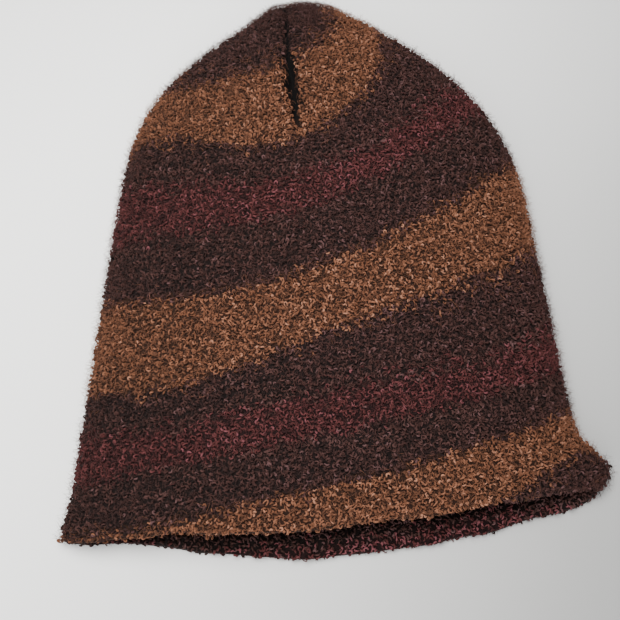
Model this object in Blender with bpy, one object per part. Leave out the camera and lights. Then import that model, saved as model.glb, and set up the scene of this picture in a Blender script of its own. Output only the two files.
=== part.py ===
"""Knit beanie lying on its back, mouth towards -Y and crown towards +Y. Metres, +Z up.

The cloth is one seamless knitted tube. Four darts, at the front, the back and the two side folds,
draw its far end in to the crown. All shapes are worked out in hat coordinates, where y runs from
the rim line to the tip of the crown, and one empty centres them on the origin.
"""

import math

import bmesh
import bpy
from mathutils import Vector

# Driving dimensions
HAT_LENGTH = 0.247  # rim line to the top of the crown
CROWN_LENGTH = 0.121  # the part that the darts draw in
# Each side of the outline: its reach where the crown starts, how fast that grows towards the rim,
# the roundness of the crown, and the reach left at the very top
LEFT_REACH, LEFT_TAPER, LEFT_POWER, LEFT_ROOT, LEFT_TOP = 0.0949, 0.085, 3.6, 0.72, 0.0265
RIGHT_REACH, RIGHT_TAPER, RIGHT_POWER, RIGHT_ROOT, RIGHT_TOP = 0.0930, 0.109, 2.9, 1.05, -0.0035
RIM_SLOPE = 0.093  # the rim runs slightly across the tube
FRONT_RIM_BULGE = 0.0083  # how far the middle of each layer's rim reaches past the rim line
BACK_RIM_BULGE, BACK_RIM_SKEW = 0.0175, 0.32  # the back layer's bulge sits further right
RIM_REACH = 0.6  # share of the length over which the rim's shape dies out
CORNER_FLARE = 0.0113  # the relaxed edge at the right corner of the mouth
CORNER_FLARE_PLACE, CORNER_FLARE_LENGTH = 0.006, 0.012
KNIT = 0.0036  # thickness of the cloth
FOLD_HEIGHT = 0.0056  # height of the middle of a side fold
FOLD_WIDTH = 0.009
MOUTH_HEIGHT, BODY_HEIGHT, TIP_HEIGHT = 0.0225, 0.028, 0.0105  # of the front layer's top
DOME_POWER, DOME_ROOT = 2.4, 0.55  # roundness of the front layer across the hat
LAST_RING = 0.985  # share of the length where the rings stop, at a blunt tip
TIP_ROUND = 0.0015  # how far the tip bulges past the last ring

DART_START, DART_END = 0.72, 0.955  # shares of the length between which a dart is sewn
DART_DEPTH, DART_WIDTH = 0.0016, 0.006
FRONT_DART_PLACE = -0.010  # sideways from the middle line
THREAD_RADIUS = 0.0006
TAIL_RADIUS = 0.0009
EDGE_RADIUS = 0.0017
GAP = 0.0004  # between touching pieces

# Mesh density
TOP_STEPS, FOLD_STEPS, FLAT_STEPS = 30, 4, 10
BODY_RINGS = 20
MIDDLE_CROWDING = 0.34  # columns gather at the middle of the front, where its dart is

CROWN_START = HAT_LENGTH - CROWN_LENGTH
TIP = LAST_RING * HAT_LENGTH + TIP_ROUND
INNER_END = HAT_LENGTH - 0.010  # the hollow stops short of the tip


def side_reach(y, reach, taper, power, root, top):
    """How far one side of the outline lies from x = 0 at y."""
    share = min(max(0, (y - CROWN_START) / CROWN_LENGTH), 1)
    tapered = reach + taper * (CROWN_START - y)
    return tapered * (1 - share**power) ** (1 / root) + top * share**3


def left_reach(y):
    return side_reach(y, LEFT_REACH, LEFT_TAPER, LEFT_POWER, LEFT_ROOT, LEFT_TOP)


def right_reach(y):
    return side_reach(y, RIGHT_REACH, RIGHT_TAPER, RIGHT_POWER, RIGHT_ROOT, RIGHT_TOP)


def half_width(y):
    """Half the flat width at y."""
    return (left_reach(y) + right_reach(y)) / 2


def middle(y):
    """Sideways place of the hat's middle line at y."""
    return (right_reach(y) - left_reach(y)) / 2


def top_height(y):
    """Height of the front layer's outer face on the middle line."""
    share = y / HAT_LENGTH
    dome = TIP_HEIGHT + (BODY_HEIGHT - TIP_HEIGHT) * (1 - share**3) ** 0.6
    return dome - (BODY_HEIGHT - MOUTH_HEIGHT) * (1 - share) ** 5


def flare(y, across):
    """The right corner of the mouth reaches outwards."""
    away = (y - CORNER_FLARE_PLACE) / CORNER_FLARE_LENGTH
    return CORNER_FLARE * math.exp(-away * away) * max(0, across) ** 6


def rim_shift(y, across, front):
    """How far the rim's slope and bulge move a point along the hat."""
    fade = max(0, 1 - y / (RIM_REACH * HAT_LENGTH)) ** 2
    bulge, skew = (FRONT_RIM_BULGE, 0) if front else (BACK_RIM_BULGE, BACK_RIM_SKEW)
    line = RIM_SLOPE * across * half_width(0)
    return fade * (line - bulge * (1 - across * across) * (1 + skew * across))


def dome(across):
    """Height of the front layer across the hat, 1 on the middle line and 0 at the folds."""
    return (1 - min(1, abs(across)) ** DOME_POWER) ** DOME_ROOT


def section(half, low, fold, high):
    """(across, height) round one cross-section: over the front from right to left, then back below.

    across runs from 1 at the right fold to -1 at the left one.
    """
    points = []
    for i in range(TOP_STEPS + 1):
        turn = math.pi * i / TOP_STEPS
        turn += MIDDLE_CROWDING * math.sin(2 * turn)
        across = math.cos(turn)
        points.append((across, fold + (high - fold) * dome(across)))
    width = min(FOLD_WIDTH, 0.6 * half)
    below = []
    for i in range(1, FOLD_STEPS + 1):
        turn = math.pi / 2 * i / FOLD_STEPS
        across = 1 - width / half * (1 - math.cos(turn))
        below.append((across, low + (fold - low) * (1 - math.sin(turn))))
    flat = below[-1][0]
    left_fold = [(-across, height) for across, height in below]
    bottom = [(-flat + 2 * flat * i / FLAT_STEPS, low) for i in range(1, FLAT_STEPS)]
    return points + left_fold + bottom + below[::-1]


def dart_share(y):
    """0 where a dart starts, 1 along its deep middle, 0 again at its end."""
    share = (y / HAT_LENGTH - DART_START) / (DART_END - DART_START)
    return math.sin(math.pi * share) if 0 < share < 1 else 0


def outer_ring(y):
    half, high = half_width(y), top_height(y)
    ring = []
    fold = min(FOLD_HEIGHT, high / 2)
    for index, (across, height) in enumerate(section(half, 0, fold, high)):
        front = index <= TOP_STEPS
        if front:
            away = (across * half - FRONT_DART_PLACE) / DART_WIDTH
            height -= DART_DEPTH * dart_share(y) * math.exp(-away * away)
        x = middle(y) + across * half + flare(y, across)
        ring.append(Vector((x, y + rim_shift(y, across, front), height)))
    return ring


def inner_ring(y):
    """The inside face, a cloth's thickness in from the outside one."""
    half = half_width(min(y + KNIT, HAT_LENGTH)) - 0.9 * KNIT
    high = top_height(y) - KNIT
    fold = min(FOLD_HEIGHT, top_height(y) / 2)
    ring = []
    for index, (across, height) in enumerate(section(half, KNIT, fold, high)):
        x = middle(y) + across * half + flare(y, across)
        ring.append(Vector((x, y + rim_shift(y, across, index <= TOP_STEPS), height)))
    return ring


def stations(end):
    """Places along the hat, closer together towards the tip."""
    return [end * (1 - (1 - i / BODY_RINGS) ** 1.5) for i in range(BODY_RINGS + 1)]


def material(name, colour, roughness=0.95):
    made = bpy.data.materials.new(name)
    made.use_nodes = True
    shader = made.node_tree.nodes["Principled BSDF"]
    shader.inputs["Base Color"].default_value = (*colour, 1)
    shader.inputs["Roughness"].default_value = roughness
    shader.inputs["Metallic"].default_value = 0
    return made


def placed(name, data, own_material, frame):
    made = bpy.data.objects.new(name, data)
    data.materials.append(own_material)
    made.parent = frame
    bpy.context.scene.collection.objects.link(made)
    return made


def close_tube(mesh, rings):
    """Joins neighbouring rings of vertices with quads."""
    for first, second in zip(rings, rings[1:]):
        count = len(first)
        for i in range(count):
            j = (i + 1) % count
            mesh.faces.new((first[i], first[j], second[j], second[i]))


def close_tip(mesh, ring, tip):
    point = mesh.verts.new(tip)
    for i, vertex in enumerate(ring):
        mesh.faces.new((vertex, ring[(i + 1) % len(ring)], point))


def knit_shell(frame):
    """The seamless knitted cloth, open at the mouth."""
    mesh = bmesh.new()
    outer_places = stations(LAST_RING * HAT_LENGTH)
    inner_places = stations(INNER_END)
    outer = [[mesh.verts.new(p) for p in outer_ring(y)] for y in outer_places]
    inner = [[mesh.verts.new(p) for p in inner_ring(y)] for y in inner_places]
    close_tube(mesh, outer)
    close_tube(mesh, inner)
    close_tube(mesh, [outer[0], inner[0]])
    close_tip(mesh, outer[-1], (middle(TIP), TIP, TIP_HEIGHT / 2))
    inner_tip = INNER_END + TIP_ROUND
    close_tip(mesh, inner[-1], (middle(inner_tip), inner_tip, TIP_HEIGHT / 2))
    bmesh.ops.recalc_face_normals(mesh, faces=mesh.faces)
    data = bpy.data.meshes.new("knit_shell")
    mesh.to_mesh(data)
    mesh.free()
    data.shade_smooth()
    data.set_sharp_from_angle(angle=math.radians(50))
    return placed("knit_shell", data, material("brown_knit", (0.12, 0.05, 0.035)), frame)


def tube(name, points, radius, own_material, frame, closed=False):
    """A thread or yarn along the points."""
    curve = bpy.data.curves.new(name, "CURVE")
    curve.dimensions = "3D"
    curve.bevel_depth = radius
    curve.bevel_resolution = 1
    curve.use_fill_caps = True
    spline = curve.splines.new("POLY")
    spline.points.add(len(points) - 1)
    for place, point in zip(spline.points, points):
        place.co = (*point, 1)
    spline.use_cyclic_u = closed
    return placed(name, curve, own_material, frame)


def brim_edge(frame):
    """The chain of cast-off stitches that locks the rim."""
    back_off = Vector((0, -(EDGE_RADIUS + GAP), 0))
    points = []
    for outside, inside in zip(outer_ring(0), inner_ring(0)):
        centre = (outside + inside) / 2 + back_off
        centre.z = max(centre.z, EDGE_RADIUS + GAP / 4)
        points.append(centre)
    yarn = material("edge_yarn", (0.10, 0.045, 0.035))
    return tube("brim_edge", points, EDGE_RADIUS, yarn, frame, closed=True)


def dart_line(side, y):
    """A point on the inside of the cloth, on one dart's closing line."""
    clear = THREAD_RADIUS + GAP
    if side == "back":
        return Vector((middle(y), y, KNIT + clear))
    half = half_width(y + KNIT) - 0.9 * KNIT
    fold = min(FOLD_HEIGHT, top_height(y) / 2)
    if side == "front":
        under = fold + (top_height(y) - KNIT - fold) * dome(FRONT_DART_PLACE / half)
        return Vector((middle(y) + FRONT_DART_PLACE, y, under - clear))
    outwards = 1 if side == "right" else -1
    return Vector((middle(y) + outwards * (half - 2.2 * clear), y, fold))


def dart_seam(side, frame):
    """The sewing thread that closes one dart, on the inside."""
    steps = 14
    span = (DART_END - 0.02 - DART_START) * HAT_LENGTH
    start = DART_START * HAT_LENGTH
    points = [dart_line(side, start + span * i / steps) for i in range(steps + 1)]
    thread = material("seam_thread_" + side, (0.03, 0.02, 0.018), 0.6)
    return tube("dart_seam_" + side, points, THREAD_RADIUS, thread, frame)


def crown_tack(frame):
    """The knot that gathers the four darts, inside the tip."""
    mesh = bmesh.new()
    bmesh.ops.create_icosphere(mesh, subdivisions=2, radius=0.0011)
    bmesh.ops.scale(mesh, vec=(2.2, 1.2, 0.9), verts=mesh.verts)
    y = INNER_END - 0.002
    bmesh.ops.translate(mesh, vec=(middle(y), y, TIP_HEIGHT / 2), verts=mesh.verts)
    data = bpy.data.meshes.new("crown_tack")
    mesh.to_mesh(data)
    mesh.free()
    data.shade_smooth()
    return placed("crown_tack", data, material("tack_thread", (0.03, 0.02, 0.018), 0.6), frame)


def yarn_tail(name, start, end, sway, frame):
    """A woven-in yarn end on the inside of the back layer, swaying between the stitches."""
    steps = 16
    points = []
    for i in range(steps + 1):
        share = i / steps
        point = start.lerp(end, share)
        point.x += sway * math.sin(share * 3 * math.pi)
        point.z = KNIT + GAP + TAIL_RADIUS
        points.append(point)
    return tube(name, points, TAIL_RADIUS, material(name + "_yarn", (0.22, 0.1, 0.05)), frame)


def centring_frame():
    """The empty that puts the middle of the hat's outline on the origin."""
    outline = [p for y in stations(LAST_RING * HAT_LENGTH) for p in outer_ring(y)]
    left, right = min(p.x for p in outline), max(p.x for p in outline)
    rim = min(p.y for p in outline) - 2 * EDGE_RADIUS - GAP
    frame = bpy.data.objects.new("hat_frame", None)
    frame.location = (-(left + right) / 2, -(rim + TIP) / 2, 0)
    bpy.context.scene.collection.objects.link(frame)
    return frame


def main():
    for old in list(bpy.data.objects):
        bpy.data.objects.remove(old)
    frame = centring_frame()
    knit_shell(frame)
    brim_edge(frame)
    for side in ("front", "back", "left", "right"):
        dart_seam(side, frame)
    crown_tack(frame)
    yarn_tail("yarn_tail_start", Vector((-0.062, 0.004, 0)), Vector((-0.058, 0.05, 0)), 0.002, frame)
    yarn_tail("yarn_tail_end", Vector((0.012, 0.165, 0)), Vector((0.014, 0.205, 0)), 0.002, frame)


main()
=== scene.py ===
"""Looks of the knit beanie: one knitted cloth under thousands of yarn curls and loose fibres."""

import math

import bpy
import numpy as np
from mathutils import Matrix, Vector


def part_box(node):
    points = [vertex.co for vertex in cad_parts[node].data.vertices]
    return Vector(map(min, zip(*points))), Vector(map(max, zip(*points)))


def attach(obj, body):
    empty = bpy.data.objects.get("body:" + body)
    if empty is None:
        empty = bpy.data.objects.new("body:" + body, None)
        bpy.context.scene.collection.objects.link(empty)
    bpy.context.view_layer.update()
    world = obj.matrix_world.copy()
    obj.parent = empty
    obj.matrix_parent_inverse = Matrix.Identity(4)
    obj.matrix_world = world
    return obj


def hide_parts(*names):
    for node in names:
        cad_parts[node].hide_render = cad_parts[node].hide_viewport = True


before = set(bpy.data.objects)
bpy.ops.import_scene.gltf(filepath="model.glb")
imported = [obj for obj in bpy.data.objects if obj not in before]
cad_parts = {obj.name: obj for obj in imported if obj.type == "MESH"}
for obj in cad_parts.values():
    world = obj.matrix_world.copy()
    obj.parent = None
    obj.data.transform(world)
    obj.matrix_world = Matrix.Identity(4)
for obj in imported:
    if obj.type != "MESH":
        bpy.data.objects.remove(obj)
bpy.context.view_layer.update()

SHELL_LOW, SHELL_HIGH = (np.array(corner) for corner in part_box("knit_shell"))
RANDOM = np.random.default_rng(20)

# The hat's shape, in metres: its CAD solid's, with the rim's corners nearer to the photo's
HAT_LENGTH, CROWN_LENGTH = 0.247, 0.121
LEFT_SIDE = (0.0949, 0.085, 3.6, 0.72, 0.0265)  # reach, taper, power, root and reach at the top
RIGHT_SIDE = (0.0930, 0.109, 2.9, 1.05, -0.0035)
RIM_SLOPE, RIM_REACH = 0.093, 0.6
FRONT_RIM_BULGE, BACK_RIM_BULGE, BACK_RIM_SKEW = 0.0083, 0.0175, 0.32
CORNER_FLARE, CORNER_FLARE_PLACE, CORNER_FLARE_LENGTH = 0.0113, 0.0082, 0.012
LEFT_FLARE, LEFT_FLARE_LENGTH, FLARE_POWER = 0.0022, 0.010, 6
LEFT_SAG, LEFT_SAG_WIDTH = 0.0026, 0.20  # of both layers
# The back layer's rim sags by the right corner, and is tucked under the front one on the left
RIGHT_SAG, RIGHT_SAG_WIDTH = 0.0034, 0.09
LEFT_TUCK, LEFT_TUCK_PLACE, LEFT_TUCK_WIDTH = 0.0020, 0.78, 0.16
KNIT, FOLD_HEIGHT, FOLD_WIDTH = 0.0036, 0.0056, 0.009
KNIT_AT_FOLD = 0.9  # its thickness at the folds, against elsewhere
MOUTH_HEIGHT, BODY_HEIGHT, TIP_HEIGHT = 0.0225, 0.028, 0.0105
DOME_POWER, DOME_ROOT = 2.4, 0.55
LAST_RING, TIP_ROUND = 0.985, 0.0015
CROWN_START = HAT_LENGTH - CROWN_LENGTH
TIP = LAST_RING * HAT_LENGTH + TIP_ROUND

# The cloth under the curls
CURL_ROOM, TIP_ROOM = 0.0011, 0.0022  # how far it lies inside the solid's faces and tip
ROWS, COLUMNS, CAP_ROWS, INNER_ROWS = 186, 420, 6, 36
SECTION_SAMPLES = 720
INNER_END = HAT_LENGTH - 0.010
WAVE, WAVE_SIZE = 0.0009, 0.075  # height and size of its soft waves
RIM_WAVER, RIM_WAVER_SIZE = 0.0011, 0.036  # how the rim strays along the hat
RIM_RIPPLE, RIM_RIPPLE_SIZE = 0.0007, 0.030  # and in height
RIM_DEPTH = 0.012
RELIEF, RELIEF_SIZE = 0.00022, 0.0042
LEAST_HEIGHT = 0.0004
FACING_DOWN = -0.8  # a normal's z: the cloth that lies on the table

# The front dart, in hat coordinates: y from the rim line to the tip, x from the body's middle
DART_PLACE, DART_LEAN, DART_LEAN_LENGTH = -0.0116, -0.0060, 0.050
DART_SWAY, DART_SWAY_RATE = 0.0004, 420
DART_FOOT, DART_TOP = 0.166, 0.243
DART_FOOT_FADE, DART_TOP_FADE = 0.014, 0.006
DART_PIT, DART_PIT_LENGTH = 0.195, 0.011
DART_DEPTH, DART_HALF_WIDTH = 0.0075, 0.0025
LIP_HEIGHT, LIP_PLACE, LIP_WIDTH = 0.0012, 0.0060, 0.0036
DART_GAP, DART_PIT_GAP = 0.0017, 0.0017  # how far curls and fibres keep off its line
DART_SHADE_WIDTH, DART_DARKNESS, DART_DARKEST = 0.0034, 2.3, 0.97

# The bands of yarn. One repeat of the colours winds round the hat as a helix, and its running
# count grows towards the rim: a tan band starts at each whole number.
BANDS = ((0.34, "tan"), (0.575, "dark"), (0.765, "burgundy"), (1.0, "dark"))
ACROSS = (-1, -0.5, 0, 0.5, 1)
EDGES = (  # count, then the height in mm of that edge at each of ACROSS over the front
    (-1.0, 194, 194, 212, 236, 243),
    (-0.66, 162, 160, 167, 208, 224),
    (-0.425, 140, 140, 147, 172, 196),
    (-0.235, 114, 117, 129, 157, 186),
    (0.0, 87, 87, 100, 125, 158),
    (0.34, 50, 50, 70, 89, 116),
    (0.575, 32, 33, 44, 54, 77),
    (0.765, 8, 17, 27, 40, 59),
    (1.0, -11.5, -5, 7, 21, 40),
    (1.34, -45, -40, -28, -6, 24),
)
ABOVE, BELOW = 0.280, 0.098  # length of a repeat past the first and last of these
LEAST_HALF_WIDTH = 0.004  # taken for the hat's half width at its very tip
BACK_WINDING = 2.7  # the greater, the nearer to the left fold the back's bands climb
MOUTH_LAG, MOUTH_LAG_DEPTH = 0.022, 0.05  # near the rim the back's bands run more nearly along it
RAGGED, RAGGED_SIZE = 0.016, 0.012
FIBRE_RAGGED = 0.03
SOFTER = 1.7  # the burgundy's edges are this much more ragged than the tan's

# Yarn curls: their spacing along and round the hat, and the steps and sides of each one's tube
SEEN = (0.00139, 0.00146, 8, 5)
UNSEEN = (0.00152, 0.00160, 7, 4)
CURL_KINDS = (  # share of the curls, least and most turn, wiggle, length
    (0.30, 4.4, 5.9, 0.15, 0.0031),  # rings
    (0.45, 1.6, 3.9, 0.40, 0.0023),  # commas
    (0.25, 0.3, 1.6, 1.50, 0.0026),  # squiggles
)
STRAND_RADIUS, CURL_LIFT, CURL_ROOT = 0.00038, 0.0016, 0.0007
UNDER_LIFT, INNER_LIFT, RIM_LIFT = 0.55, 1.15, 0.7  # against the front's
CURLS_IN_A_PIECE = 2400
JITTER = 0.33  # of a curl's place, against the spacing
INNER_REACH = 0.045  # how far into the mouth there are curls
MIDDLE_SHADE, SHADE_SPREAD, MOOD, MOOD_SIZE = 2.1, 1.0, 0.8, 0.007
LEFT_PAINTED_SHADE, LEFT_PAINTED_SHADE_WIDTH = 1.1, 0.058  # painted shade: the curls are a shade or so darker near the left fold, where the hat's side falls away from the light
# painted light: the curls inside the mouth are drawn this many shades paler, standing in for light
# that reaches into the mouth
INNER_PAINTED_LIGHT = 0.9

# Loose fibres: how many, their usual length, how far they stand off and whether only at the folds
FIBRE_LAYERS = (("fibres", 46000, 0.0036, 0.0026, False), ("halo", 9000, 0.0052, 0.0044, True))
FIBRE_RADIUS, FIBRE_STEPS, LONGEST_FIBRE = 0.000055, 7, 0.010
FIBRE_ROOT, FIBRE_LEAST_HEIGHT = 0.0006, 0.0002
FOLD_SPREAD, CROWN_SHARE, CROWN_ROWS = 8, 0.12, 14
UNDER_THINNED = 0.6  # share left out where the cloth lies on the table

# The cast-off chain, which stands a little inwards of the rim's middle
CHAIN_SET, CHAIN_HEIGHT = 0.0010, 0.0016
CHAIN_PLY, CHAIN_PITCH = 0.0006, 0.0030
RIM_STITCH, RIM_ROWS, RIM_OUTWARDS = 0.0008, 1.2, 1.6

# Sewing and yarn ends
STEPS_IN_A_TWIST, CABLE_SIDES = 9, 6  # of the cast-off chain's yarn too
SEAM_SPAN = (0.1778, 0.2159)
FRONT_SEAM_CLEAR, BACK_SEAM_CLEAR, SIDE_SEAM_CLEAR = 0.00156, 0.0010, 0.0022
SEAM_THREAD, SEAM_PITCH, SEAM_POINTS = 0.00028, 0.0028, 90
KNOT_SIZE, KNOT_THREAD, KNOT_PITCH, KNOT_POINTS = (0.0021, 0.0011, 0.0008), 0.00032, 0.0016, 260
KNOT_FROM_END = 0.012
TAILS = (  # name, and where each starts and ends in hat coordinates
    ("tail_start", (-0.062, 0.004), (-0.058, 0.050)),
    ("tail_end", (0.012, 0.165), (0.014, 0.205)),
)
TAIL_PLY, TAIL_PITCH, TAIL_SWAY, TAIL_LIFT, TAIL_POINTS = 0.0005, 0.0040, 0.002, 0.0016, 60


def side_reach(y, side):
    reach, taper, power, root, top = side
    share = np.clip((y - CROWN_START) / CROWN_LENGTH, 0, 1)
    tapered = reach + taper * (CROWN_START - y)
    return tapered * (1 - share**power) ** (1 / root) + top * share**3


def half_width(y):
    return (side_reach(y, LEFT_SIDE) + side_reach(y, RIGHT_SIDE)) / 2


def middle(y):
    return (side_reach(y, RIGHT_SIDE) - side_reach(y, LEFT_SIDE)) / 2


def top_height(y):
    share = np.clip(y / HAT_LENGTH, 0, 1)
    dome = TIP_HEIGHT + (BODY_HEIGHT - TIP_HEIGHT) * (1 - share**3) ** 0.6
    return dome - (BODY_HEIGHT - MOUTH_HEIGHT) * (1 - share) ** 5


ORIGIN = np.array((SHELL_LOW[0] + side_reach(0, LEFT_SIDE), SHELL_HIGH[1] - TIP, 0))


def smooth_noise(points, size, seed, octaves=3):
    """A soft random value between about -1 and 1 at each point, made of sine waves."""
    rng = np.random.default_rng(seed)
    total = np.zeros(len(points))
    for octave in range(octaves):
        for _ in range(5):
            direction = rng.normal(size=3)
            direction /= np.linalg.norm(direction) * size / 2**octave
            total += np.sin(points @ direction * 2 * math.pi + rng.uniform(0, 6.3)) / 2**octave
    return total / 4.4


def section(y, depth):
    """One cross-section at y, in hat coordinates, with columns spaced evenly along the cloth.

    depth is how far inside the solid's face it lies. It starts at the right fold, runs over the
    front to the left fold, and comes back below.
    """
    inside = half_width(min(y + depth, TIP)) - KNIT_AT_FOLD * depth
    high = top_height(y) - depth
    fold = min(FOLD_HEIGHT, top_height(y) / 2)
    turn = np.linspace(0, 2 * math.pi, SECTION_SAMPLES + 1)
    across = np.cos(turn)
    front = np.sin(turn) >= 0
    dome = (1 - np.abs(across) ** DOME_POWER) ** DOME_ROOT
    width = min(FOLD_WIDTH, 0.6 * inside)
    edge = 1 - np.clip((1 - np.abs(across)) * inside / width, 0, 1)
    below = depth + (fold - depth) * (1 - np.sqrt(1 - edge**2))
    height = np.where(front, fold + (high - fold) * dome, below)
    bulge = np.where(front, FRONT_RIM_BULGE, BACK_RIM_BULGE * (1 + BACK_RIM_SKEW * across))
    fade = max(0, 1 - y / (RIM_REACH * HAT_LENGTH)) ** 2
    shift = RIM_SLOPE * across * half_width(0) - bulge * (1 - across**2)
    from_right = (1 - across) / RIGHT_SAG_WIDTH
    sag = RIGHT_SAG * from_right * np.exp(1 - from_right)
    tuck = LEFT_TUCK * np.exp(-(((across + LEFT_TUCK_PLACE) / LEFT_TUCK_WIDTH) ** 2))
    shift += np.where(front, 0, tuck - sag)
    shift -= LEFT_SAG * np.exp(-(((across + 1) / LEFT_SAG_WIDTH) ** 2))
    away = (y - CORNER_FLARE_PLACE) / CORNER_FLARE_LENGTH
    flare = CORNER_FLARE * math.exp(-away * away) * np.clip(across, 0, 1) ** FLARE_POWER
    fading = math.exp(-((y / LEFT_FLARE_LENGTH) ** 2))
    flare -= LEFT_FLARE * fading * np.clip(-across, 0, 1) ** FLARE_POWER
    x = middle(y) + across * inside + flare
    points = np.stack((x, y + fade * shift, height), 1)
    lengths = np.linalg.norm(np.diff(points[:, ::2], axis=0), axis=1)
    walked = np.concatenate(([0], np.cumsum(lengths)))
    even = np.linspace(0, walked[-1], COLUMNS, endpoint=False)
    return np.stack([np.interp(even, walked, points[:, k]) for k in range(3)], 1)


def dart_line(y):
    """Sideways place of the front dart's crease."""
    share = np.clip((y - DART_FOOT) / DART_LEAN_LENGTH, 0, 1)
    return DART_PLACE + DART_LEAN * share + DART_SWAY * np.sin(y * DART_SWAY_RATE)


def dart_pit(y):
    """1 in the pit of the dart, fading to 0 along it."""
    return np.exp(-(((y - DART_PIT) / DART_PIT_LENGTH) ** 2))


def dart_depth(y):
    """How deep the crease is at y: 0 past its ends, 1 in the pit."""
    foot = np.clip((y - DART_FOOT) / DART_FOOT_FADE, 0, 1) ** 0.7
    crease = foot * np.clip((DART_TOP - y) / DART_TOP_FADE, 0, 1)
    return crease * (0.5 + 0.5 * dart_pit(y))


def dart_shape(points):
    """How much the front dart's crease lowers, or its lips raise, each point."""
    away = np.abs(points[:, 0] - dart_line(points[:, 1]))
    deep = dart_depth(points[:, 1])
    width = DART_HALF_WIDTH * (0.75 + 0.6 * deep)
    groove = DART_DEPTH * np.exp(-((away / width) ** 1.4))
    lips = LIP_HEIGHT * np.exp(-(((away - LIP_PLACE) / LIP_WIDTH) ** 2))
    return deep * (lips - groove)


class Cloth:
    """One face of the cloth as a grid of points, normals and directions, in world space."""

    def __init__(self, depth, end, rows, cap_rows, outwards):
        places = np.linspace(0, end, rows)
        rings = [section(y, depth) for y in places]
        last = rings[-1]
        tip = last.mean(0) + np.array((0, TIP_ROUND, 0))
        for i in range(1, cap_rows + 1):
            share = i / (cap_rows + 0.6) * math.pi / 2
            ring = tip + (last - tip) * math.cos(share)
            ring[:, 1] = last[:, 1] + TIP_ROUND * math.sin(share)
            rings.append(ring)
        grid = np.array(rings)
        self.y = np.repeat(np.append(places, np.full(cap_rows, end))[:, None], COLUMNS, 1)
        self.front = np.broadcast_to(np.arange(COLUMNS) < COLUMNS / 2, self.y.shape)
        flat, along_hat = grid.reshape(-1, 3), self.y.reshape(-1)
        rise = np.clip(flat[:, 2] / BODY_HEIGHT, 0, 1)
        waves = WAVE * smooth_noise(flat, WAVE_SIZE, 3, 2) * rise
        creased = np.where(self.front.reshape(-1), dart_shape(flat), 0)
        flat[:, 2] += creased * np.clip((rise - 0.2) * 5, 0, 1) + waves
        rim = np.exp(-along_hat / RIM_DEPTH)
        flat[:, 1] += RIM_WAVER * smooth_noise(flat, RIM_WAVER_SIZE, 5, 2) * rim
        flat[:, 2] += RIM_RIPPLE * smooth_noise(flat, RIM_RIPPLE_SIZE, 6, 2) * rim * (rise > 0.3)
        self.tip = tip + ORIGIN
        self.grid = flat.reshape(grid.shape) + ORIGIN
        along = np.gradient(self.grid, axis=0)
        around = np.roll(self.grid, -1, 1) - np.roll(self.grid, 1, 1)
        normal = np.cross(around, along) * (-1 if outwards else 1)
        self.normal = self.unit(normal)
        self.around = self.unit(around)

    @staticmethod
    def unit(vectors):
        return vectors / np.maximum(np.linalg.norm(vectors, axis=-1, keepdims=True), 1e-12)

    def read(self, table, row, column):
        """The table's values at fractional rows and columns, wrapping round the hat."""
        row = np.clip(row, 0, table.shape[0] - 1.001)
        i, j = row.astype(int), np.floor(column).astype(int)
        a, b = (row - i)[:, None], (column - np.floor(column))[:, None]
        j, k = j % COLUMNS, (j + 1) % COLUMNS
        low = table[i, j] * (1 - b) + table[i, k] * b
        high = table[i + 1, j] * (1 - b) + table[i + 1, k] * b
        return low * (1 - a) + high * a

    def at(self, row, column):
        """Places, normals and directions round the hat."""
        return (self.read(self.grid, row, column), self.unit(self.read(self.normal, row, column)),
                self.unit(self.read(self.around, row, column)))


def is_front(column):
    """Whether places round the hat, in columns, are over its front."""
    return (column % COLUMNS) < COLUMNS / 2


EDGE_CURVES = [np.polyfit(ACROSS, heights, 4) / 1000 for _, *heights in EDGES]


def front_repeats(across, y):
    """Colour repeats over the front, read between the bands' edges."""
    heights = [np.polyval(curve, across) for curve in EDGE_CURVES]
    counts = [edge[0] for edge in EDGES]
    count = counts[0] - (y - heights[0]) / ABOVE
    for i in range(len(EDGES) - 1):
        share = (heights[i] - y) / (heights[i] - heights[i + 1])
        count = np.where(share > 0, counts[i] + share * (counts[i + 1] - counts[i]), count)
    return np.where(y < heights[-1], counts[-1] + (heights[-1] - y) / BELOW, count)


def repeats(points, front):
    """Colour repeats at world points. They carry on round the back, one more for each turn."""
    place = points - ORIGIN
    y = place[:, 1]
    half = np.maximum(half_width(np.clip(y, 0, TIP)), LEAST_HALF_WIDTH)
    across = np.clip((place[:, 0] - middle(np.clip(y, 0, TIP))) / half, -1, 1)
    ones = np.ones_like(across)
    lag = MOUTH_LAG * (1 - across) ** 2 * np.exp(-((np.maximum(y, 0) / MOUTH_LAG_DEPTH) ** 2))
    right, left = front_repeats(ones, y + lag), front_repeats(-ones, y)
    turned = np.clip((1 - across) / 2, 0, 1) ** BACK_WINDING
    return np.where(front, front_repeats(across, y), right + (left + 1 - right) * turned)


def bands_of(count):
    """Which of BANDS each count falls in, and in which repeat."""
    edges = np.array([edge for edge, _ in BANDS])
    share = count - np.floor(count)
    return np.searchsorted(edges, share, side="right").clip(0, 3), np.floor(count).astype(int)


# ---------------------------------------------------------------- materials

YARNS = {
    "tan": (0.1115, 0.0448, 0.0238),
    "dark": (0.0325, 0.0138, 0.0118),
    "burgundy": (0.0525, 0.0143, 0.0141),
}
SHADES = ((0.30, 0.97), (0.62, 1.0), (1.0, 1.03), (1.6, 0.97), (2.6, 0.88))  # brightness, redness
GROUND_PAINTED_SHADE = 0.14  # the cloth under the curls is this much of the yarn's brightness: painted shade, as dark as the gaps between the curls
THROUGH_LIGHT = 1.45  # and the loose fibres are this much
GROUND_SHEEN, YARN_SHEEN, FIBRE_SHEEN = 0.03, 0.22, 0.35
THREAD = (0.012, 0.008, 0.007)
DARK_THREAD, PALE_THREAD = (0.007, 0.005, 0.0045), (0.022, 0.014, 0.012)


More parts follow.
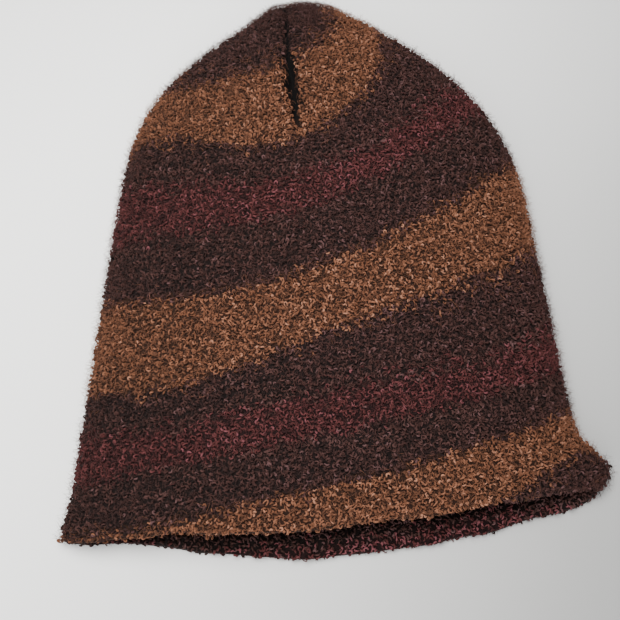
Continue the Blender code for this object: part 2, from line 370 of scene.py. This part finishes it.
def add(tree, kind, **values):
    """A node with its inputs or properties set by name, with _ for each space."""
    node = tree.nodes.new(kind)
    for name, value in values.items():
        socket = node.inputs.get(name.replace("_", " "))
        if socket is not None:
            socket.default_value = value
        else:
            setattr(node, name, value)
    return node


def new_material(name):
    made = bpy.data.materials.new(name)
    made.use_nodes = True
    return made, made.node_tree, made.node_tree.nodes["Principled BSDF"]


def fibre_bump(tree, shader, size, strength, distance):
    """Fine twisted-fibre relief, about size metres across."""
    place = add(tree, "ShaderNodeTexCoord")
    noise = add(tree, "ShaderNodeTexNoise", Scale=1 / size, Detail=3.0, Roughness=0.65)
    bump = add(tree, "ShaderNodeBump", Strength=strength, Distance=distance)
    tree.links.new(place.outputs["Object"], noise.inputs["Vector"])
    tree.links.new(noise.outputs["Fac"], bump.inputs["Height"])
    tree.links.new(bump.outputs["Normal"], shader.inputs["Normal"])


def wool(shader, colour, sheen):
    """Settings that all the yarns share. The sheen is the haze of fibres round each strand."""
    shader.inputs["Base Color"].default_value = (*colour, 1)
    shader.inputs["Roughness"].default_value = 0.85
    shader.inputs["Specular IOR Level"].default_value = 0.15
    shader.inputs["Sheen Weight"].default_value = sheen
    shader.inputs["Sheen Roughness"].default_value = 0.5
    tint = tuple(min(1, 0.06 + 2.2 * part) for part in colour)
    shader.inputs["Sheen Tint"].default_value = (*tint, 1)


def shade(colour, brightness, redness):
    red, green, blue = colour
    return (red * brightness * redness, green * brightness, blue * brightness / redness)


def yarn_shades(yarn):
    """The heathered shades that the curls of one yarn colour are spun in."""
    made = []
    for number, (brightness, redness) in enumerate(SHADES):
        material, tree, shader = new_material(f"{yarn}_yarn_{number + 1}")
        wool(shader, shade(YARNS[yarn], brightness, redness), YARN_SHEEN)
        fibre_bump(tree, shader, 0.00035, 0.5, 0.0002)
        made.append(material)
    return made


def fibre_material(yarn):
    """Loose fibres: paler than the yarn, because light comes through them."""
    material, tree, shader = new_material(f"{yarn}_fibre")
    wool(shader, shade(YARNS[yarn], THROUGH_LIGHT, 1.0), FIBRE_SHEEN)
    fibre_bump(tree, shader, 0.0002, 0.3, 0.00005)
    return material


def cloth_material():
    """The knit under the curls: the same bands, darkened as painted shade for the gaps between the
    curls and in the dart's crease, with knit relief and heathering.
    """
    material, tree, shader = new_material("knit_ground")
    wool(shader, YARNS["dark"], GROUND_SHEEN)
    band = add(tree, "ShaderNodeAttribute", attribute_name="repeat_share")
    place = add(tree, "ShaderNodeTexCoord")
    ragged = add(tree, "ShaderNodeTexNoise", Scale=420.0, Detail=2.0)
    shift = add(tree, "ShaderNodeMath", operation="MULTIPLY_ADD")
    shift.inputs[1].default_value = 0.04
    colours = add(tree, "ShaderNodeValToRGB")
    ramp = colours.color_ramp
    ramp.interpolation = "EASE"
    stops = [(0.0, "dark"), (0.03, "tan"), (0.34, "tan"), (0.37, "dark"), (0.58, "dark"),
             (0.61, "burgundy"), (0.77, "burgundy"), (0.80, "dark"), (0.99, "dark"), (1.0, "tan")]
    while len(ramp.elements) < len(stops):
        ramp.elements.new(0.5)
    for element, (at, yarn) in zip(ramp.elements, stops):
        element.position = at
        # painted shade: each band's colour darkened to the shade in the gaps between the curls
        element.color = (*(GROUND_PAINTED_SHADE * part for part in YARNS[yarn]), 1)
    heather = add(tree, "ShaderNodeTexNoise", Scale=900.0, Detail=4.0, Roughness=0.7)
    lighten = add(tree, "ShaderNodeMapRange", From_Min=0.35, From_Max=0.7, To_Min=0.5, To_Max=1.6)
    scale = add(tree, "ShaderNodeVectorMath", operation="SCALE")
    links = tree.links
    links.new(place.outputs["Object"], ragged.inputs["Vector"])
    links.new(place.outputs["Object"], heather.inputs["Vector"])
    links.new(ragged.outputs["Fac"], shift.inputs[0])
    links.new(band.outputs["Fac"], shift.inputs[2])
    links.new(shift.outputs[0], colours.inputs["Fac"])
    links.new(heather.outputs["Fac"], lighten.inputs["Value"])
    links.new(colours.outputs["Color"], scale.inputs[0])
    dusk = add(tree, "ShaderNodeAttribute", attribute_name="dart_shade")
    dimmed = add(tree, "ShaderNodeMath", operation="MULTIPLY")
    links.new(lighten.outputs["Result"], dimmed.inputs[0])
    links.new(dusk.outputs["Fac"], dimmed.inputs[1])
    links.new(dimmed.outputs[0], scale.inputs["Scale"])
    links.new(scale.outputs["Vector"], shader.inputs["Base Color"])
    fibre_bump(tree, shader, 0.0007, 0.8, 0.0006)
    return material


# ---------------------------------------------------------------- meshes


def new_piece(name, points, quads, triangles, materials, indices=None):
    """A smooth mesh object from arrays of points, quads and triangles."""
    data = bpy.data.meshes.new(name)
    corners = np.concatenate((quads.reshape(-1), triangles.reshape(-1))).astype(np.int32)
    totals = np.concatenate((np.full(len(quads), 4), np.full(len(triangles), 3))).astype(np.int32)
    data.vertices.add(len(points))
    data.vertices.foreach_set("co", np.asarray(points, np.float32).reshape(-1))
    data.loops.add(len(corners))
    data.loops.foreach_set("vertex_index", corners)
    data.polygons.add(len(totals))
    starts = np.concatenate(([0], np.cumsum(totals)[:-1])).astype(np.int32)
    data.polygons.foreach_set("loop_start", starts)
    for material in materials:
        data.materials.append(material)
    if indices is not None:
        data.polygons.foreach_set("material_index", indices.astype(np.int32))
    data.update(calc_edges=True)
    data.validate()
    data.shade_smooth()
    made = bpy.data.objects.new(name, data)
    bpy.context.scene.collection.objects.link(made)
    return made


def tubes(paths, radii, sides, guide=None):
    """Closed tubes along many paths at once: points, quads, triangles and each face's tube.

    paths is (tube, step, 3) and radii (tube, step). The two ends close in a point. guide is a
    direction that long paths never run along.
    """
    count, steps, _ = paths.shape
    tangent = Cloth.unit(np.gradient(paths, axis=1))
    if guide is None:
        guide = np.cross(tangent[:, steps // 2], RANDOM.normal(size=(count, 3)))[:, None]
    side = Cloth.unit(np.cross(tangent, np.broadcast_to(guide, paths.shape)))
    other = np.cross(tangent, side)
    turn = (np.arange(sides) * 2 * math.pi / sides)[:, None]
    ring = side[:, 1:-1, None] * np.cos(turn) + other[:, 1:-1, None] * np.sin(turn)
    ring = paths[:, 1:-1, None] + ring * radii[:, 1:-1, None, None]
    rings = steps - 2
    body = ring.reshape(count, rings * sides, 3)
    points = np.concatenate((body, paths[:, :1], paths[:, -1:]), 1)
    first, last = rings * sides, rings * sides + 1
    quads, triangles = [], []
    for j in range(sides):
        k = (j + 1) % sides
        for i in range(rings - 1):
            quads.append((i * sides + j, i * sides + k, (i + 1) * sides + k, (i + 1) * sides + j))
        triangles.append((first, k, j))
        triangles.append(((rings - 1) * sides + j, (rings - 1) * sides + k, last))
    step = np.arange(count)[:, None, None] * (last + 1)
    quads = (np.array(quads)[None] + step).reshape(-1, 4)
    triangles = (np.array(triangles)[None] + step).reshape(-1, 3)
    owners = np.concatenate((np.repeat(np.arange(count), sides * (rings - 1)),
                             np.repeat(np.arange(count), 2 * sides)))
    return points.reshape(-1, 3), quads, triangles, owners


def winding(count, steps, length, turn, wiggle):
    """Flat curled paths, centred on 0: each turns steadily and wiggles once."""
    share = np.linspace(0, 1, steps)[None]
    phase = RANDOM.uniform(0, 2 * math.pi, (count, 1))
    heading = phase + turn[:, None] * share + wiggle[:, None] * np.sin(2 * math.pi * share + phase)
    stride = length[:, None] / (steps - 1)
    x, y = np.cumsum(np.cos(heading) * stride, 1), np.cumsum(np.sin(heading) * stride, 1)
    return x - x.mean(1, keepdims=True), y - y.mean(1, keepdims=True)


def curl_paths(place, normal, around, lift, steps):
    """One curl of yarn at each place, of one of CURL_KINDS, that rises from the cloth."""
    count = len(place)
    across = np.cross(normal, around)
    shares, least, most, wiggles, lengths = np.array(CURL_KINDS).T
    kind = RANDOM.choice(len(CURL_KINDS), count, p=shares)
    turn = RANDOM.uniform(least[kind], most[kind]) * RANDOM.choice((-1, 1), count)
    wiggle = wiggles[kind] * RANDOM.uniform(0.6, 1.2, count)
    length = lengths[kind] * RANDOM.uniform(0.8, 1.25, count)
    x, y = winding(count, steps, length, turn, wiggle)
    share = np.linspace(0, 1, steps)[None]
    rise = lift[:, None] * RANDOM.uniform(0.5, 1.3, (count, 1))
    z = -CURL_ROOT + rise * np.sin(math.pi * share) ** 0.6
    lean = RANDOM.normal(0, 0.3, (2, count, 1)) * (z + CURL_ROOT)
    path = (around[:, None] * (x + lean[0])[..., None] + across[:, None] * (y + lean[1])[..., None]
            + normal[:, None] * z[..., None])
    return place[:, None] + path


def banded(label, place, count, ragged):
    """Yields a name, a yarn and the chosen places for each band of yarn."""
    shift = RAGGED * smooth_noise(place, RAGGED_SIZE, 7, 2) + RANDOM.normal(0, ragged, len(place))
    next_to_tan = np.isin(bands_of(count)[0], (0, 3))
    band, repeat = bands_of(count + shift * np.where(next_to_tan, 1, SOFTER))
    for pair in sorted(set(zip(repeat.tolist(), band.tolist()))):
        number = (pair[0] + 3) * len(BANDS) + pair[1]
        yarn = BANDS[pair[1]][1]
        yield f"{label}_{yarn}_{number}", yarn, (repeat == pair[0]) & (band == pair[1])


def pieces_of(bands):
    """The same bands, the long ones cut along the hat into pieces a viewer can take."""
    for name, yarn, chosen in bands:
        chosen = np.flatnonzero(chosen)
        cuts = np.array_split(chosen, math.ceil(len(chosen) / CURLS_IN_A_PIECE))
        for number, cut in enumerate(cuts, 1):
            yield (f"{name}_part_{number}" if len(cuts) > 1 else name), yarn, cut


def curls(label, place, normal, around, lift, count, steps, sides, paler=0):
    """Curl pieces, one or more for each band of yarn, in that yarn's shades."""
    mood = MOOD * smooth_noise(place, MOOD_SIZE, 11, 2)
    made = []
    for name, yarn, chosen in pieces_of(banded(label, place, count, RAGGED)):
        total = len(chosen)
        paths = curl_paths(place[chosen], normal[chosen], around[chosen], lift[chosen], steps)
        paths[..., 2] = np.maximum(paths[..., 2], 1.3 * STRAND_RADIUS)
        share = np.linspace(0, 1, steps)[None]
        thick = STRAND_RADIUS * RANDOM.uniform(0.7, 1.3, (total, 1))
        radii = thick * (0.5 + 0.5 * np.sin(math.pi * share) ** 0.6)
        points, quads, triangles, owners = tubes(paths, radii, sides)
        # painted shade: curls near the left fold are given darker shades
        painted_shade_near_left = np.exp(-(((place[chosen, 0] - SHELL_LOW[0]) / LEFT_PAINTED_SHADE_WIDTH) ** 2))
        # painted light: paler raises the tone of the curls inside the mouth
        tone = RANDOM.normal(0, SHADE_SPREAD, total) + mood[chosen] + MIDDLE_SHADE + paler
        tone -= LEFT_PAINTED_SHADE * painted_shade_near_left
        index = np.clip(np.round(tone), 0, len(SHADES) - 1).astype(int)
        made.append(new_piece(name, points, quads, triangles, SHADED[yarn], index[owners]))
    return made


def cable(name, line, plies, radius, pitch, materials, guide=(0, 0, 1)):
    """Yarn of twisted plies along a line of points. guide is a direction it never runs along."""
    walked = np.concatenate(([0], np.cumsum(np.linalg.norm(np.diff(line, axis=0), axis=1))))
    even = np.linspace(0, walked[-1], int(walked[-1] / pitch * STEPS_IN_A_TWIST))
    centre = np.stack([np.interp(even, walked, line[:, k]) for k in range(3)], 1)
    tangent = Cloth.unit(np.gradient(centre, axis=0))
    side = Cloth.unit(np.cross(tangent, guide))
    other = np.cross(tangent, side)
    paths = []
    for ply in range(plies):
        turn = (even / pitch + ply / plies)[:, None] * 2 * math.pi
        wander = 1 + 0.15 * smooth_noise(centre + ply, 0.006, 31 + ply, 2)[:, None]
        offset = radius * wander if plies > 1 else 0
        paths.append(centre + offset * (side * np.cos(turn) + other * np.sin(turn)))
    paths = np.array(paths)
    radii = np.full(paths.shape[:2], radius) * RANDOM.uniform(0.85, 1.1, paths.shape[:2])
    points, quads, triangles, owners = tubes(paths, radii, CABLE_SIDES, guide)
    return new_piece(name, points, quads, triangles, materials, owners % len(materials))


def scatter(cloth, end, course, stitch):
    """Rows and columns of places in staggered, jittered courses, up to y = end."""
    rows = len(cloth.grid) - 1
    spine = cloth.grid[:, COLUMNS // 4]
    walked = np.concatenate(([0], np.cumsum(np.linalg.norm(np.diff(spine, axis=0), axis=1))))
    found_rows, found_columns = [], []
    for number, at in enumerate(np.arange(course / 3, walked[-1], course)):
        row = np.interp(at, walked, np.arange(rows + 1))
        nearest = int(min(round(row), rows))
        if cloth.y[nearest, 0] > end:
            break
        ring = cloth.grid[nearest]
        girth = np.linalg.norm(np.roll(ring, -1, 0) - ring, axis=1).sum()
        total = max(3, int(girth / stitch))
        places = np.arange(total) + 0.5 * (number % 2) + RANDOM.uniform(-JITTER, JITTER, total)
        found_columns.append(places / total * COLUMNS)
        off = RANDOM.uniform(-JITTER, JITTER, total) * course
        found_rows.append(row + off / (walked[-1] / rows))
    return np.clip(np.concatenate(found_rows), 0, rows), np.concatenate(found_columns)


def clear_of_dart(place):
    """True away from the line where the dart's two lips meet."""
    hat = place - ORIGIN
    deep = dart_depth(hat[:, 1])
    gap = DART_GAP + DART_PIT_GAP * dart_pit(hat[:, 1])
    return (np.abs(hat[:, 0] - dart_line(hat[:, 1])) > gap) | (deep < 0.15)


def outer_curls(label, cloth, front, spacing_and_detail):
    """Curls over the front or the back of the outer face."""
    course, stitch, steps, sides = spacing_and_detail
    row, column = scatter(cloth, TIP, course, stitch)
    chosen = is_front(column) == front
    place, normal, around = cloth.at(row[chosen], column[chosen])
    clear = clear_of_dart(place) | (not front)
    place, normal, around = place[clear], normal[clear], around[clear]
    lift = np.where(normal[:, 2] < FACING_DOWN, UNDER_LIFT, 1.0) * CURL_LIFT
    return curls(label, place, normal, around, lift, repeats(place, front), steps, sides)


def inner_curls(cloth):
    """Curls on the inner face, as far as the mouth shows it."""
    course, stitch, steps, sides = UNSEEN
    row, column = scatter(cloth, INNER_REACH, course, stitch)
    place, normal, around = cloth.at(row, column)
    count = repeats(place, is_front(column))
    lift = np.full(len(place), INNER_LIFT * CURL_LIFT)
    # painted light: these curls are drawn paler than their yarn, for light reaching into the mouth
    return curls("inner_curls", place, normal, around, lift, count, steps, sides, INNER_PAINTED_LIGHT)


def fibres(label, cloth, total, typical, stand_off, folds_only):
    """Loose fibres that lie over the curls or, at the folds and the crown, stand off them."""
    row = RANDOM.uniform(0, 1, total) * (len(cloth.grid) - 1)
    column = RANDOM.uniform(0, COLUMNS, total)
    if folds_only:
        column = RANDOM.choice((0, COLUMNS / 2), total) + RANDOM.normal(0, FOLD_SPREAD, total)
        crown = RANDOM.uniform(size=total) < CROWN_SHARE
        row[crown] = len(cloth.grid) - 1 - RANDOM.uniform(0, CROWN_ROWS, int(crown.sum()))
        column[crown] = RANDOM.uniform(0, COLUMNS, int(crown.sum()))
    place, normal, around = cloth.at(row, column)
    front = is_front(column)
    under = normal[:, 2] < FACING_DOWN
    clear = clear_of_dart(place) | ~front
    share = np.linspace(0, 1, FIBRE_STEPS)[None]
    made = []
    for name, yarn, chosen in banded(label, place, repeats(place, front), FIBRE_RAGGED):
        chosen = chosen & clear & ~(under & (RANDOM.uniform(size=total) < UNDER_THINNED))
        some = int(chosen.sum())
        if some == 0:
            continue
        length = np.minimum(typical * RANDOM.lognormal(0, 0.38, some), LONGEST_FIBRE)
        x, y = winding(some, FIBRE_STEPS, length, RANDOM.normal(0, 1.6, some),
                       RANDOM.uniform(0, 0.9, some))
        stand = RANDOM.uniform(0.4, 1.0, (some, 1)) * stand_off
        z = FIBRE_ROOT * (1 - share) + stand * np.sin(math.pi * (0.12 + 0.75 * share)) ** 0.8
        if folds_only:
            x, y, z = 0.6 * x, 0.6 * y, FIBRE_ROOT + stand * share**1.3
        across = np.cross(normal[chosen], around[chosen])
        path = (around[chosen][:, None] * x[..., None] + across[:, None] * y[..., None]
                + normal[chosen][:, None] * z[..., None] + place[chosen][:, None])
        path[..., 2] = np.maximum(path[..., 2], FIBRE_LEAST_HEIGHT)
        radii = FIBRE_RADIUS * RANDOM.uniform(0.7, 1.3, (some, 1)) * (1 - 0.5 * share)
        points, quads, triangles, _ = tubes(path, radii, 3)
        made.append(new_piece(name, points, quads, triangles, [FIBRES[yarn]]))
    return made


def knit_cloth(outer, inner):
    """The closed cloth: outer face, rim and inner face."""
    a, b = outer.grid, inner.grid
    rows_a, rows_b = len(a), len(b)
    relief = smooth_noise(a.reshape(-1, 3), RELIEF_SIZE, 21, 2).reshape(a.shape[:2])
    outside = a + outer.normal * RELIEF * relief[..., None]
    points = np.concatenate((outside.reshape(-1, 3), b.reshape(-1, 3), [outer.tip, inner.tip]))
    points[:, 2] = np.maximum(points[:, 2], LEAST_HEIGHT)
    start_b = rows_a * COLUMNS
    j = np.arange(COLUMNS)
    k = (j + 1) % COLUMNS
    i = np.arange(rows_a - 1)[:, None] * COLUMNS
    outside_quads = np.stack((i + j, i + COLUMNS + j, i + COLUMNS + k, i + k), -1).reshape(-1, 4)
    i = start_b + np.arange(rows_b - 1)[:, None] * COLUMNS
    inside_quads = np.stack((i + j, i + k, i + COLUMNS + k, i + COLUMNS + j), -1).reshape(-1, 4)
    rim = np.stack((j, k, start_b + k, start_b + j), -1)
    end_a, end_b = (rows_a - 1) * COLUMNS, start_b + (rows_b - 1) * COLUMNS
    tip_a, tip_b = len(points) - 2, len(points) - 1
    caps = np.concatenate((
        np.stack((end_a + k, end_a + j, np.full(COLUMNS, tip_a)), -1),
        np.stack((end_b + j, end_b + k, np.full(COLUMNS, tip_b)), -1)))
    quads = np.concatenate((outside_quads, inside_quads, rim))
    made = new_piece("knit_cloth", points, quads, caps, [cloth_material()])
    front = np.concatenate((outer.front.reshape(-1), inner.front.reshape(-1), [True, True]))
    count = repeats(points, front)
    hat = points - ORIGIN
    away = (hat[:, 0] - dart_line(hat[:, 1])) / DART_SHADE_WIDTH
    crease = np.where(front, dart_depth(hat[:, 1]), 0) * np.exp(-away * away)
    dusk = made.data.attributes.new("dart_shade", "FLOAT", "POINT")
    dark = np.clip(DART_DARKNESS * crease, 0, DART_DARKEST)
    dusk.data.foreach_set("value", (1 - dark).astype(np.float32))
    shares = made.data.attributes.new("repeat_share", "FLOAT", "POINT")
    shares.data.foreach_set("value", (count - np.floor(count)).astype(np.float32))
    return made


def cast_off_edge(outer, inner):
    """The chain of cast-off stitches round the rim, and the curls that stand on it."""
    line = (outer.grid[0] + inner.grid[0]) / 2 + np.array((0, CHAIN_SET, 0))
    line[:, 2] = np.maximum(line[:, 2], CHAIN_HEIGHT)
    steps = np.linalg.norm(np.roll(line, -1, 0) - line, axis=1)
    count = repeats(line, outer.front[0])
    made = []
    for name, yarn, chosen in banded("rim_chain", line, count, 0.0):
        runs = np.split(np.arange(COLUMNS), np.nonzero(np.diff(chosen.astype(int)))[0] + 1)
        for number, run in enumerate(run for run in runs if chosen[run[0]] and len(run) > 2):
            ends = np.append(run, (run[-1] + 1) % COLUMNS)
            made.append(cable(f"{name}_{number}", line[ends], 2, CHAIN_PLY, CHAIN_PITCH,
                              SHADED[yarn][1:3], guide=(0, 1, 0)))
    total = int(steps.sum() / RIM_STITCH)
    column = (np.arange(total) + RANDOM.uniform(-0.4, 0.4, total)) / total * COLUMNS
    row = RANDOM.uniform(0, RIM_ROWS, total)
    place, normal, around = outer.at(row, column)
    edge = outer.read(np.broadcast_to(line, (2, COLUMNS, 3)), np.zeros(total), column)
    share = RANDOM.uniform(0, 1, total)[:, None]
    place = edge * share + place * (1 - share)
    outwards = Cloth.unit(normal + share * np.array((0, -RIM_OUTWARDS, 0)))
    lift = np.full(total, RIM_LIFT * CURL_LIFT)
    turns = repeats(place, is_front(column))
    return made + curls("rim_curls", place, outwards, around, lift, turns, *UNSEEN[2:])


def thread_material():
    """The dark sewing thread: two shades mixed by a fine noise along it."""
    material, tree, shader = new_material("sewing_thread")
    wool(shader, THREAD, GROUND_SHEEN)
    place = add(tree, "ShaderNodeTexCoord")
    noise = add(tree, "ShaderNodeTexNoise", Scale=2500.0, Detail=3.0)
    colours = add(tree, "ShaderNodeValToRGB")
    colours.color_ramp.elements[0].color = (*DARK_THREAD, 1)
    colours.color_ramp.elements[1].color = (*PALE_THREAD, 1)
    tree.links.new(place.outputs["Object"], noise.inputs["Vector"])
    tree.links.new(noise.outputs["Fac"], colours.inputs["Fac"])
    tree.links.new(colours.outputs["Color"], shader.inputs["Base Color"])
    fibre_bump(tree, shader, 0.00025, 0.5, 0.0001)
    return material


def seam_line(side):
    """World points along one dart's closing line, on the inside of the cloth."""
    outwards = {"left": -1, "right": 1}.get(side, 0)
    line = []
    for y in np.linspace(*SEAM_SPAN, SEAM_POINTS):
        inside = half_width(y + KNIT) - KNIT_AT_FOLD * KNIT
        x = middle(y) + outwards * (inside - SIDE_SEAM_CLEAR)
        z = min(FOLD_HEIGHT, top_height(y) / 2)
        if side == "back":
            z = KNIT + BACK_SEAM_CLEAR
        if side == "front":
            x, z = dart_line(y), top_height(y) - KNIT - DART_DEPTH * dart_depth(y)
            z -= FRONT_SEAM_CLEAR
        line.append((x, y, z))
    return np.array(line) + ORIGIN


def seams():
    """The overcast sewing of the four darts, and the knot in which their threads end."""
    thread = thread_material()
    made = []
    for side in ("front", "back", "left", "right"):
        sewn = cable(f"{side}_dart_sewing", seam_line(side), 2, SEAM_THREAD, SEAM_PITCH, [thread])
        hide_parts(f"dart_seam_{side}")
        made.append(sewn)
    y = HAT_LENGTH - KNOT_FROM_END
    turn = np.linspace(0, 2 * math.pi, KNOT_POINTS)
    wound = 0.62 + 0.38 * np.cos(7 * turn)
    loops = np.stack((wound * np.cos(3 * turn), wound * np.sin(3 * turn), np.sin(7 * turn)), 1)
    knot = loops * KNOT_SIZE + ORIGIN + (middle(y), y, TIP_HEIGHT / 2)
    tack = cable("crown_knot", knot, 1, KNOT_THREAD, KNOT_PITCH, [thread], guide=(0.2, 0.3, 1))
    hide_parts("crown_tack")
    return [*made, tack]


def tails():
    """The woven-in ends of the yarn, inside the back layer: two plies each."""
    share = np.linspace(0, 1, TAIL_POINTS)[:, None]
    height = np.full((TAIL_POINTS, 1), KNIT + TAIL_LIFT)
    made = []
    for name, start, end in TAILS:
        line = np.array(start) * (1 - share) + np.array(end) * share
        line[:, :1] += TAIL_SWAY * np.sin(share * 3 * math.pi)
        line = np.concatenate((line, height), 1) + ORIGIN
        tail = cable(f"woven_{name}", line, 2, TAIL_PLY, TAIL_PITCH, SHADED["tan"][1:3])
        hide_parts(f"yarn_{name}")
        made.append(tail)
    return made


SHADED = {yarn: yarn_shades(yarn) for yarn in YARNS}
FIBRES = {yarn: fibre_material(yarn) for yarn in YARNS}
outer_cloth = Cloth(CURL_ROOM, LAST_RING * HAT_LENGTH - TIP_ROOM, ROWS, CAP_ROWS, True)
inner_cloth = Cloth(KNIT, INNER_END, INNER_ROWS, 2, False)
cloth = knit_cloth(outer_cloth, inner_cloth)
pile = outer_curls("front_curls", outer_cloth, True, SEEN)
pile += outer_curls("back_curls", outer_cloth, False, UNSEEN)
pile += inner_curls(inner_cloth)
for label, total, typical, stand_off, folds_only in FIBRE_LAYERS:
    pile += fibres(label, outer_cloth, total, typical, stand_off, folds_only)

edge = cast_off_edge(outer_cloth, inner_cloth)
sewing, ends = seams(), tails()
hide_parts("knit_shell")
for piece in edge:
    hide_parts("brim_edge")
for slot, pieces in (("knit_yarn", [cloth, *pile]), ("edge_yarn", edge), ("seam_thread", sewing),
                     ("tail_yarn", ends)):
    for piece in pieces:
        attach(piece, "root")


# ---------------------------------------------------------------- floor, light and camera


FLOOR_HALF = 3
PALE_TABLE, SHADED_TABLE = (0.94, 0.94, 0.93), (0.29, 0.29, 0.286)
SHADE_PLACE, SHADE_REACH = (0.25, -0.19), (0.10, 0.50)  # painted soft shadow: the table is greyer near this place
WARM_WHITE = (1.0, 0.99, 0.97)
LIGHTS = (  # name, place, target, size, power in watts, spread in degrees
    ("window", (-0.12, 0.03, 0.60), (-0.10, 0.01, 0), 0.45, 3.3, 100),
    ("room", (-0.25, -0.9, 0.5), (0, 0, 0), 0.8, 9, 180),
)
SKY, SKY_STRENGTH = (0.94, 0.96, 1.0), 0.36
CAMERA_AIM = (-0.0067, 0.0856, 0.0096)  # in hat coordinates
CAMERA_DISTANCE, CAMERA_ELEVATION, HALF_VIEW = 0.413, math.radians(70), math.radians(18)


def pale_floor():
    """A pale table with a painted soft shadow, a little greyer towards its near right corner."""
    data = bpy.data.meshes.new("floor")
    corners = [(x * FLOOR_HALF, y * FLOOR_HALF, 0) for x, y in ((-1, -1), (1, -1), (1, 1), (-1, 1))]
    data.from_pydata(corners, [], [(0, 1, 2, 3)])
    made = bpy.data.objects.new("floor", data)
    bpy.context.scene.collection.objects.link(made)
    material, tree, shader = new_material("pale_table")
    shader.inputs["Roughness"].default_value = 0.6
    place = add(tree, "ShaderNodeTexCoord")
    away = add(tree, "ShaderNodeVectorMath", operation="DISTANCE")
    away.inputs[1].default_value = (*SHADE_PLACE, 0)
    near = add(tree, "ShaderNodeMapRange", From_Min=SHADE_REACH[0], From_Max=SHADE_REACH[1],
               interpolation_type="SMOOTHSTEP")
    colours = add(tree, "ShaderNodeValToRGB")
    colours.color_ramp.elements[0].color = (*SHADED_TABLE, 1)
    colours.color_ramp.elements[1].color = (*PALE_TABLE, 1)
    mottle = add(tree, "ShaderNodeTexNoise", Scale=9.0, Detail=2.0)
    soft = add(tree, "ShaderNodeMath", operation="MULTIPLY_ADD")
    soft.inputs[1].default_value = 0.06
    links = tree.links
    links.new(place.outputs["Object"], away.inputs[0])
    links.new(place.outputs["Object"], mottle.inputs["Vector"])
    links.new(away.outputs["Value"], near.inputs["Value"])
    links.new(mottle.outputs["Fac"], soft.inputs[0])
    links.new(near.outputs["Result"], soft.inputs[2])
    links.new(soft.outputs[0], colours.inputs["Fac"])
    links.new(colours.outputs["Color"], shader.inputs["Base Color"])
    data.materials.append(material)


def area_light(name, place, target, size, power, spread):
    light = bpy.data.lights.new(name, "AREA")
    light.shape = "DISK"
    light.size = size
    light.energy = power
    light.color = WARM_WHITE
    light.spread = math.radians(spread)
    made = bpy.data.objects.new(name, light)
    made.location = place
    made.rotation_euler = (Vector(target) - Vector(place)).to_track_quat("-Z", "Y").to_euler()
    bpy.context.scene.collection.objects.link(made)


def studio():
    world = bpy.data.worlds.new("studio")
    world.use_nodes = True
    sky = world.node_tree.nodes["Background"]
    sky.inputs["Color"].default_value = (*SKY, 1)
    sky.inputs["Strength"].default_value = SKY_STRENGTH
    bpy.context.scene.world = world
    for light in LIGHTS:
        area_light(*light)


def photo_camera():
    """Seventy degrees above the table, from the mouth side."""
    target = Vector(ORIGIN + CAMERA_AIM)
    back = Vector((0, -math.cos(CAMERA_ELEVATION), math.sin(CAMERA_ELEVATION)))
    camera = bpy.data.objects.new("camera", bpy.data.cameras.new("camera"))
    camera.location = target + back * CAMERA_DISTANCE
    camera.rotation_euler = (-back).to_track_quat("-Z", "Y").to_euler()
    camera.data.lens = camera.data.sensor_width / 2 / math.tan(HALF_VIEW)
    camera.data.clip_start = 0.01
    bpy.context.scene.collection.objects.link(camera)
    bpy.context.scene.camera = camera


pale_floor()
studio()
photo_camera()
